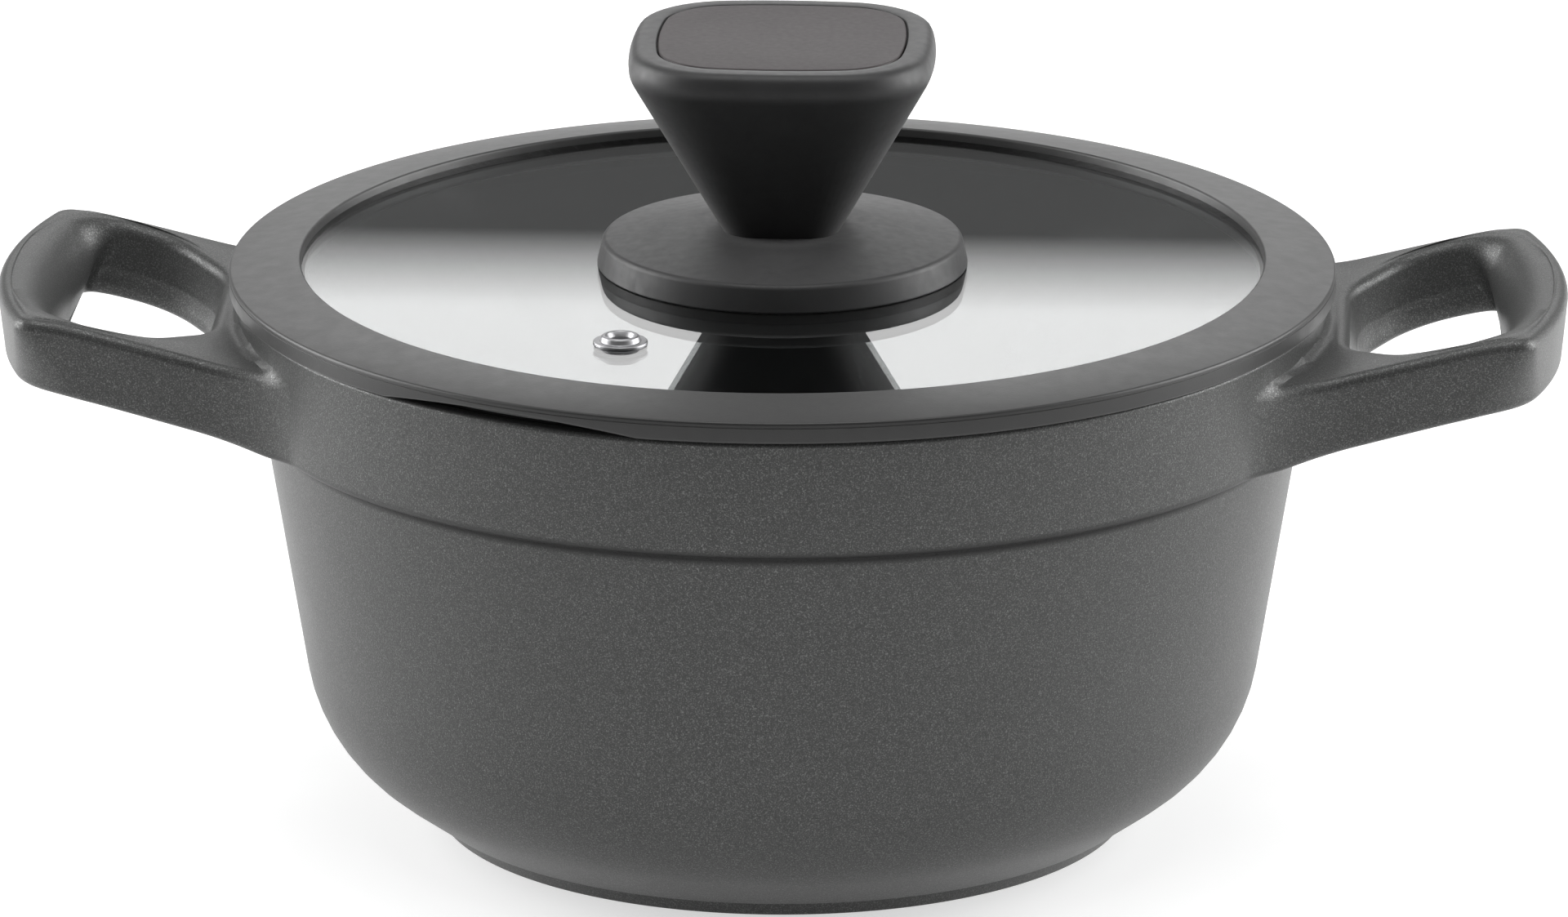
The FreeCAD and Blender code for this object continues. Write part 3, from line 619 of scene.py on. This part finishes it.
def capped(levels):
    """Closed shell over a stack of closed chains, no two at one height in a row, flat at each end."""
    bm = bridged(levels, closed_chain=True, closed_stack=False)
    bmesh.ops.holes_fill(bm, edges=[e for e in bm.edges if e.is_boundary])
    bmesh.ops.recalc_face_normals(bm, faces=bm.faces[:])
    return bm


def knob_grip(material):
    levels = [soft_square(half, GRIP_CORNER_R + (half - GRIP_CORNER_AT) * GRIP_CORNER_SHARE, z)
              for half, z in rounded(GRIP_PROFILE, step_deg=7)]
    gap_half, gap_corner = INLAY_HALF + INLAY_GAP, INLAY_CORNER_R + INLAY_GAP
    pocket_z, lip = HEAD_TOP_Z - INLAY_T, GRIP_LIP
    levels.append(soft_square(gap_half + lip, gap_corner + lip, HEAD_TOP_Z - LEVEL_GAP))
    levels.append(soft_square(gap_half + lip * 0.3, gap_corner + lip * 0.3, HEAD_TOP_Z - lip * 0.3))
    levels.append(soft_square(gap_half, gap_corner, HEAD_TOP_Z - lip))
    levels.append(soft_square(gap_half, gap_corner, pocket_z))
    levels.append(soft_square(gap_half - POCKET_STEP, gap_corner - POCKET_STEP, pocket_z - LEVEL_GAP))
    foot, shoulder, ceiling, top = [NECK_Z + z for z in INSERT_Z]
    bore = [circle(SCREW_HOLE_R, top), circle(INSERT_R, ceiling), circle(INSERT_R, shoulder),
            circle(SCREW_HOLE_R, foot), circle(SCREW_HOLE_R, NECK_Z + LEVEL_GAP)]
    bm = capped(bore + levels)
    return finished(mesh_of(bm, "knob_handle"), "knob_handle", "lid", material, ["knob_grip"])


def knob_inlay(material):
    levels = [soft_square(INLAY_HALF, INLAY_CORNER_R, HEAD_TOP_Z - INLAY_T)]
    for i in range(INLAY_EDGE_STEPS + 1):
        t = math.pi / 2 * i / INLAY_EDGE_STEPS
        inset = INLAY_EDGE_R * (1 - math.cos(t))
        height = HEAD_TOP_Z - INLAY_EDGE_R * (1 - math.sin(t))
        levels.append(soft_square(INLAY_HALF - inset, INLAY_CORNER_R - inset, height))
    bm = capped(levels)
    return finished(mesh_of(bm, "knob_inlay_plate"), "knob_inlay_plate", "lid", material,
                    ["knob_inlay"])


def induction_disc(material):
    """Steel disc with shallow turned grooves on its underside."""
    groove, pitch, depth = 0.8, 6.0, 0.25
    points = [(0, DISC_T), (DISC_R, DISC_T), (DISC_R, 0.3), (DISC_R - 0.3, 0)]
    r = DISC_R - pitch
    while r > pitch / 2:
        points += [(r + groove, 0), (r + groove / 2, depth), (r - groove / 2, depth), (r - groove, 0)]
        r -= pitch
    points.append((0, 0))
    bm = spun([Vector(p) for p in points])
    return finished(mesh_of(bm, "induction_disc"), "induction_disc", "pot", material,
                    ["base_disc"], sharp_deg=20)


# --- materials -------------------------------------------------------------------------------------
def new_material(name, **values):
    """A material on the Principled shader, its plain values set on the shader's own sockets."""
    material = bpy.data.materials.new(name)
    material.use_nodes = True
    shader = material.node_tree.nodes["Principled BSDF"]
    for socket, value in values.items():
        shader.inputs[socket.replace("_", " ").title().replace("Ior", "IOR")].default_value = value
    return material


def add(material, kind, inputs=(), **settings):
    """A node with its settings, and with its inputs set or linked by name."""
    tree = material.node_tree
    node = tree.nodes.new(kind)
    for key, value in settings.items():
        setattr(node, key, value)
    for key, value in dict(inputs).items():
        if isinstance(value, bpy.types.NodeSocket):
            tree.links.new(value, node.inputs[key])
        else:
            node.inputs[key].default_value = value
    return node


def drive(material, socket, value):
    tree = material.node_tree
    tree.links.new(value, tree.nodes["Principled BSDF"].inputs[socket])


def place(material):
    return add(material, "ShaderNodeTexCoord").outputs["Object"]


def noise(material, where, size_mm, detail=2.0, roughness=0.5):
    """Noise with features of about size_mm, from 0 to 1."""
    node = add(material, "ShaderNodeTexNoise", {"Vector": where, "Scale": 1 / (size_mm * MM),
                                                "Detail": detail, "Roughness": roughness})
    return node.outputs["Fac"]


def remap(material, value, low, high, to_low=0.0, to_high=1.0):
    node = add(material, "ShaderNodeMapRange", {"Value": value, "From Min": low, "From Max": high,
                                                "To Min": to_low, "To Max": to_high})
    return node.outputs["Result"]


def tint(material, factor, dark, light):
    node = add(material, "ShaderNodeMix", data_type="RGBA")
    node.inputs[6].default_value = (*dark, 1)
    node.inputs[7].default_value = (*light, 1)
    material.node_tree.links.new(factor, node.inputs[0])
    return node.outputs[2]


def math_node(material, operation, *values):
    return add(material, "ShaderNodeMath", dict(enumerate(values)), operation=operation).outputs[0]


def bump(material, height, depth_mm):
    node = add(material, "ShaderNodeBump", {"Height": height, "Distance": depth_mm * MM})
    drive(material, "Normal", node.outputs["Normal"])


CREASE_Z = 80.6              # the band's lower edge
PAINTED_SHADE_HALF_H = 2.1          # painted shade reaches this far above and below it


def coating():
    """Dark grey coat with fine metal flecks and a faint orange peel, with painted shade along the band's
    lower edge.
    """
    m = new_material("non_stick_coat", roughness=0.4, specular_ior_level=0.3)
    where = place(m)
    flecks = remap(m, noise(m, where, 0.26, 1.0), 0.5, 0.78)
    grain = remap(m, noise(m, where, 0.5, 3.0, 0.7), 0.3, 0.7)
    cloud = remap(m, noise(m, where, 14.0, 3.0), 0.3, 0.7)
    base = tint(m, grain, (0.055, 0.056, 0.055), (0.078, 0.079, 0.078))
    lit = add(m, "ShaderNodeMix", {0: flecks, 6: base, 7: (0.19, 0.193, 0.19, 1)},
              data_type="RGBA").outputs[2]
    height = add(m, "ShaderNodeSeparateXYZ", {0: where}).outputs["Z"]
    from_crease = math_node(m, "ABSOLUTE", math_node(m, "SUBTRACT", height, CREASE_Z * MM), 0.0)
    painted_crease_shade = remap(m, from_crease, PAINTED_SHADE_HALF_H * MM, PAINTED_SHADE_HALF_H * 0.4 * MM)
    # painted shade: the coat's colour is taken to near black along the band's lower edge, where shade falls
    drive(m, "Base Color", add(m, "ShaderNodeMix", {0: painted_crease_shade, 6: lit, 7: (0.010, 0.010, 0.010, 1)},
                               data_type="RGBA").outputs[2])
    drive(m, "Metallic", math_node(m, "MULTIPLY_ADD", flecks, 0.6, 0.2))
    drive(m, "Roughness", remap(m, math_node(m, "ADD", grain, cloud), 0.0, 2.0, 0.37, 0.43))
    bump(m, math_node(m, "ADD", grain, noise(m, where, 2.2, 2.0)), 0.02)
    return m


def inner_coating():
    """Black satin non-stick coat of the cooking surface."""
    m = new_material("inner_non_stick_coat", base_color=(0.016, 0.016, 0.016, 1), roughness=0.4,
                     specular_ior_level=0.4)
    where = place(m)
    drive(m, "Roughness", remap(m, noise(m, where, 0.8, 3.0), 0.3, 0.7, 0.35, 0.45))
    return m


def silicone(name, colour, roughness, sheen=0.0):
    """Matt moulded silicone with faint dusty clouds."""
    m = new_material(name, roughness=roughness, specular_ior_level=0.5, sheen_weight=sheen,
                     sheen_roughness=0.4)
    where = place(m)
    cloud = remap(m, noise(m, where, 16.0, 3.0), 0.3, 0.7)
    dark, light = [c * 0.92 for c in colour], [c * 1.09 for c in colour]
    drive(m, "Base Color", tint(m, cloud, dark, light))
    drive(m, "Roughness", remap(m, noise(m, where, 3.0, 4.0), 0.3, 0.7, roughness - 0.03, roughness + 0.04))
    bump(m, noise(m, where, 0.35, 2.0), 0.015)
    return m


def soft_touch():
    """Black soft-touch coated plastic."""
    m = new_material("soft_touch_black", roughness=0.5, specular_ior_level=0.45, sheen_weight=0.15,
                     sheen_roughness=0.4)
    where = place(m)
    drive(m, "Base Color", tint(m, remap(m, noise(m, where, 6.0, 4.0), 0.3, 0.7), (0.019, 0.019, 0.0195),
                                (0.024, 0.024, 0.0245)))
    drive(m, "Roughness", remap(m, noise(m, where, 2.0, 4.0), 0.3, 0.7, 0.46, 0.55))
    bump(m, noise(m, where, 0.3, 2.0), 0.01)
    return m


def satin_inlay():
    m = new_material("inlay_warm_grey", roughness=0.45, specular_ior_level=0.25)
    where = place(m)
    drive(m, "Base Color", tint(m, remap(m, noise(m, where, 8.0, 3.0), 0.3, 0.7), (0.044, 0.038, 0.039),
                                (0.051, 0.044, 0.045)))
    drive(m, "Roughness", remap(m, noise(m, where, 1.2, 3.0), 0.3, 0.7, 0.42, 0.48))
    bump(m, noise(m, where, 0.25, 1.0), 0.004)
    return m


def metal(name, colour, roughness, grain_mm=0.6):
    m = new_material(name, metallic=1.0, roughness=roughness)
    where = place(m)
    wear = remap(m, noise(m, where, grain_mm * 8, 4.0), 0.3, 0.7)
    drive(m, "Base Color", tint(m, wear, [c * 0.92 for c in colour], colour))
    drive(m, "Roughness", remap(m, noise(m, where, grain_mm, 3.0), 0.3, 0.7,
                                roughness * 0.8, roughness * 1.25))
    return m


def turned_steel():
    """Steel faced on a lathe: fine rings about the axis."""
    m = metal("turned_steel", (0.55, 0.55, 0.56), 0.3)
    where = place(m)
    flat = add(m, "ShaderNodeVectorMath", {0: where, 1: (1.0, 1.0, 0.0)}, operation="MULTIPLY").outputs[0]
    radius = add(m, "ShaderNodeVectorMath", {0: flat}, operation="LENGTH").outputs["Value"]
    rings = add(m, "ShaderNodeTexNoise", {"W": radius, "Scale": 2500.0, "Detail": 3.0}, noise_dimensions="1D")
    bump(m, rings.outputs["Fac"], 0.01)
    return m


def clear_glass():
    m = new_material("tempered_glass", base_color=(0.90, 0.93, 0.93, 1), roughness=0.0, ior=1.5,
                     transmission_weight=1.0)
    smear = remap(m, noise(m, place(m), 30.0, 3.0), 0.45, 0.75, 0.0, 0.02)
    drive(m, "Roughness", smear)
    return m


# --- studio ----------------------------------------------------------------------------------------
WORLD_LEVEL = 0.18
FLOOR_HALF = 30.0
FLOOR_PAINT = 0.6
FLOOR_GLOW = 0.58
SIDE_BOX = (1.2, 1.4)
SIDE_BOX_X, SIDE_BOX_Y, SIDE_BOX_Z = 1.5, 0.35, 0.55
TOP_BOX = (1.2, 1.0)
TOP_BOX_AT = (0.0, -0.1, 1.6)
LIT_POINT = (0, 0, 0.07)
SIDE_LIGHT = 7.0
TOP_LIGHT = 3.0
BACK_LIGHT = 2.2
BACK_EDGE_Z = 0.968          # lower edge of the softbox behind the pot
BACK_Y = 3.0
BACK_W = 2.4
BACK_H = 1.2
BACK_EDGE_FADE = 0.034
CAMERA_DISTANCE = 2.5
CAMERA_ELEVATION = 17.07
CAMERA_AZIMUTH = 2.76
CAMERA_LENS = 301.1
AIM = Vector((0.00029, 0.0, 0.06928))


def plain_world():
    world = bpy.data.worlds.new("studio")
    bpy.context.scene.world = world
    world.use_nodes = True
    background = world.node_tree.nodes["Background"]
    background.inputs["Color"].default_value = (1, 1, 1, 1)
    background.inputs["Strength"].default_value = WORLD_LEVEL


def seen_directly(material):
    """1 for rays that show a surface as it is: from the camera, a gloss or through glass."""
    rays = add(material, "ShaderNodeLightPath").outputs
    by_gloss = math_node(material, "MAXIMUM", rays["Is Camera Ray"], rays["Is Glossy Ray"])
    return math_node(material, "MAXIMUM", by_gloss, rays["Is Transmission Ray"])


def floor():
    """Pale floor that keeps the pot's shadow and shows white wherever it is seen."""
    bm = bmesh.new()
    bmesh.ops.create_grid(bm, x_segments=1, y_segments=1, size=FLOOR_HALF)
    plane = object_of(mesh_of(bm, "floor"), "floor")
    material = bpy.data.materials.new("pale_floor")
    material.use_nodes = True
    tree = material.node_tree
    tree.nodes.remove(tree.nodes["Principled BSDF"])
    paint = add(material, "ShaderNodeBsdfDiffuse")
    paint.inputs["Color"].default_value = (FLOOR_PAINT, FLOOR_PAINT, FLOOR_PAINT, 1)
    glow = add(material, "ShaderNodeEmission")
    strength = math_node(material, "MULTIPLY", seen_directly(material), FLOOR_GLOW)
    tree.links.new(strength, glow.inputs["Strength"])
    both = add(material, "ShaderNodeAddShader")
    tree.links.new(paint.outputs[0], both.inputs[0])
    tree.links.new(glow.outputs[0], both.inputs[1])
    tree.links.new(both.outputs[0], tree.nodes["Material Output"].inputs["Surface"])
    plane.data.materials.append(material)


def softbox(name, size, at, toward, radiance):
    light = bpy.data.lights.new(name, "AREA")
    light.shape = "RECTANGLE"
    light.size, light.size_y = size
    light.energy = radiance * math.pi * size[0] * size[1]
    lamp = bpy.data.objects.new(name, light)
    bpy.context.scene.collection.objects.link(lamp)
    lamp.location = at
    lamp.rotation_euler = (Vector(toward) - Vector(at)).to_track_quat("-Z", "Y").to_euler()
    lamp.visible_camera = False


def back_softbox():
    """Softbox behind the pot whose lower edge fades out, as the lid's glass shows it."""
    bm = bmesh.new()
    bmesh.ops.create_grid(bm, x_segments=1, y_segments=1, size=0.5)
    bmesh.ops.scale(bm, verts=bm.verts[:], vec=(BACK_W, BACK_H, 1))
    plane = object_of(mesh_of(bm, "back_softbox"), "back_softbox")
    plane.location = (0, BACK_Y, BACK_EDGE_Z + BACK_H / 2)
    plane.rotation_euler = (math.radians(90), 0, 0)
    material = bpy.data.materials.new("back_softbox")
    material.use_nodes = True
    tree = material.node_tree
    tree.nodes.remove(tree.nodes["Principled BSDF"])
    glow = add(material, "ShaderNodeEmission")
    height = add(material, "ShaderNodeSeparateXYZ", {0: place(material)}).outputs["Y"]
    light = remap(material, height, -BACK_H / 2, BACK_EDGE_FADE - BACK_H / 2, WORLD_LEVEL, BACK_LIGHT)
    tree.links.new(light, glow.inputs["Strength"])
    tree.links.new(glow.outputs[0], tree.nodes["Material Output"].inputs["Surface"])
    plane.data.materials.append(material)
    plane.visible_camera = plane.visible_shadow = False


def studio():
    plain_world()
    floor()
    softbox("left_softbox", SIDE_BOX, (-SIDE_BOX_X, SIDE_BOX_Y, SIDE_BOX_Z), LIT_POINT, SIDE_LIGHT)
    softbox("right_softbox", SIDE_BOX, (SIDE_BOX_X, SIDE_BOX_Y, SIDE_BOX_Z), LIT_POINT, SIDE_LIGHT)
    softbox("top_softbox", TOP_BOX, TOP_BOX_AT, LIT_POINT, TOP_LIGHT)
    back_softbox()


def camera():
    data = bpy.data.cameras.new("camera")
    data.lens = CAMERA_LENS
    data.sensor_width = 36.0
    data.clip_start, data.clip_end = 0.1, 100.0
    piece = bpy.data.objects.new("camera", data)
    bpy.context.scene.collection.objects.link(piece)
    a, e = math.radians(CAMERA_AZIMUTH), math.radians(CAMERA_ELEVATION)
    back = Vector((math.sin(a) * math.cos(e), -math.cos(a) * math.cos(e), math.sin(e)))
    piece.location = AIM + back * CAMERA_DISTANCE
    piece.rotation_euler = (-back).to_track_quat("-Z", "Y").to_euler()
    bpy.context.scene.camera = piece


# --- the object ------------------------------------------------------------------------------------
def dressed(node, material):
    """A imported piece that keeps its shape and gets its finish."""
    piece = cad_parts[node]
    piece.data.materials.clear()
    piece.data.materials.append(material)


def casserole():
    coat = coating()
    grip = soft_touch()
    steel = metal("plain_steel", (0.60, 0.60, 0.61), 0.35)
    satin = metal("satin_steel", (0.4, 0.4, 0.41), 0.42)
    black_silicone = silicone("gasket_silicone", (0.02, 0.02, 0.02), 0.5)
    pot_with_handles(coat, inner_coating())
    induction_disc(turned_steel())
    silicone_rim(silicone("rim_silicone", (0.018, 0.018, 0.0177), 0.42, sheen=0.18))
    eyelet(satin)
    knob_plate(grip)
    knob_grip(grip)
    knob_inlay(satin_inlay())
    dressed("glass_disc", clear_glass())
    dressed("vent_washer", satin)
    dressed("knob_insert", metal("turned_brass", (0.72, 0.55, 0.25), 0.3))
    dressed("knob_screw", steel)
    dressed("screw_washer", steel)
    dressed("upper_gasket", black_silicone)
    dressed("lower_gasket", black_silicone)


casserole()
studio()
camera()
bpy.context.scene.view_settings.view_transform = "Standard"
